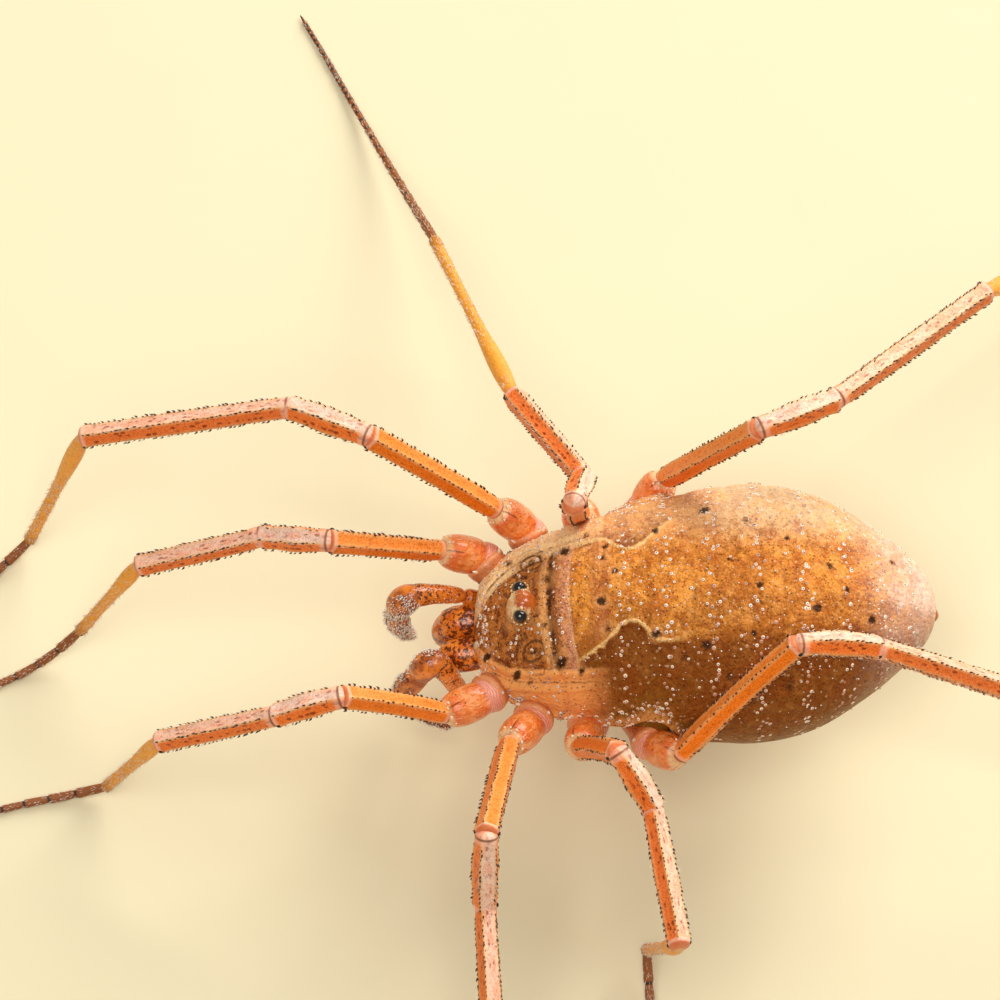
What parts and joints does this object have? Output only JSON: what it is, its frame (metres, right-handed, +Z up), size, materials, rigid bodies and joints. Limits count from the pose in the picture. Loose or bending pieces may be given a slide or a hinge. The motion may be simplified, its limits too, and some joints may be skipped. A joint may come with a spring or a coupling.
{
  "type": "harvestman",
  "caption": "Harvestman with an oval ridged body, an eye mound, bent palps and long jointed legs spread in a standing pose.",
  "frame": {"origin": "on the floor, under the middle of the whole animal's box", "axes": "head towards -Y, the animal's left is +X, +Z up; the feet stand at Z = 0"},
  "size_m": [0.03, 0.0316, 0.0063],
  "materials": {
    "carapace": "orange-brown cuticle mottled purple-brown, with pale granules",
    "abdomen": "rust-orange leathery cuticle with fine dark speckles and white-tipped granules",
    "eye_mound": "glossy orange cuticle with a pale ring of small teeth",
    "eye": "glossy black lens",
    "chelicera": "glossy orange cuticle with dark brown spots",
    "palp": "orange cuticle speckled brown, with pale bristle brushes",
    "leg_trochanter": "glossy red-orange cuticle",
    "leg_femur": "bright orange ridged cuticle with rows of black teeth",
    "leg_patella": "pinkish orange ridged cuticle with dark flecks",
    "leg_tibia": "pinkish orange ridged cuticle with dark flecks",
    "leg_metatarsus": "yellow-brown hairy cuticle",
    "leg_tarsus": "brown ringed cuticle, darker towards the tip"
  },
  "bodies": {
    "root": {"prosoma": "carapace", "abdomen": "abdomen", "eye_mound": "eye_mound", "eye_left": "eye", "eye_right": "eye", "chelicera_left": "chelicera", "chelicera_right": "chelicera", "palp_left_femur": "palp", "palp_left_tibia": "palp", "palp_right_femur": "palp", "palp_right_tibia": "palp", "leg_left_1_trochanter": "leg_trochanter", "leg_left_1_femur": "leg_femur", "leg_left_1_patella": "leg_patella", "leg_left_1_tibia": "leg_tibia", "leg_left_1_metatarsus": "leg_metatarsus", "leg_left_1_tarsus": "leg_tarsus", "leg_left_2_trochanter": "leg_trochanter", "leg_left_2_femur": "leg_femur", "leg_left_2_patella": "leg_patella", "leg_left_2_tibia": "leg_tibia", "leg_left_2_metatarsus": "leg_metatarsus", "leg_left_2_tarsus": "leg_tarsus", "leg_left_3_trochanter": "leg_trochanter", "leg_left_3_femur": "leg_femur", "leg_left_3_patella": "leg_patella", "leg_left_3_tibia": "leg_tibia", "leg_left_3_metatarsus": "leg_metatarsus", "leg_left_3_tarsus": "leg_tarsus", "leg_left_4_trochanter": "leg_trochanter", "leg_left_4_femur": "leg_femur", "leg_left_4_patella": "leg_patella", "leg_left_4_tibia": "leg_tibia", "leg_left_4_metatarsus": "leg_metatarsus", "leg_left_4_tarsus": "leg_tarsus", "leg_right_1_trochanter": "leg_trochanter", "leg_right_1_femur": "leg_femur", "leg_right_1_patella": "leg_patella", "leg_right_1_tibia": "leg_tibia", "leg_right_1_metatarsus": "leg_metatarsus", "leg_right_1_tarsus": "leg_tarsus", "leg_right_2_trochanter": "leg_trochanter", "leg_right_2_femur": "leg_femur", "leg_right_2_patella": "leg_patella", "leg_right_2_tibia": "leg_tibia", "leg_right_2_metatarsus": "leg_metatarsus", "leg_right_2_tarsus": "leg_tarsus", "leg_right_3_trochanter": "leg_trochanter", "leg_right_3_femur": "leg_femur", "leg_right_3_patella": "leg_patella", "leg_right_3_tibia": "leg_tibia", "leg_right_3_metatarsus": "leg_metatarsus", "leg_right_3_tarsus": "leg_tarsus", "leg_right_4_trochanter": "leg_trochanter", "leg_right_4_femur": "leg_femur", "leg_right_4_patella": "leg_patella", "leg_right_4_tibia": "leg_tibia", "leg_right_4_metatarsus": "leg_metatarsus", "leg_right_4_tarsus": "leg_tarsus"}
  },
  "joints": []
}
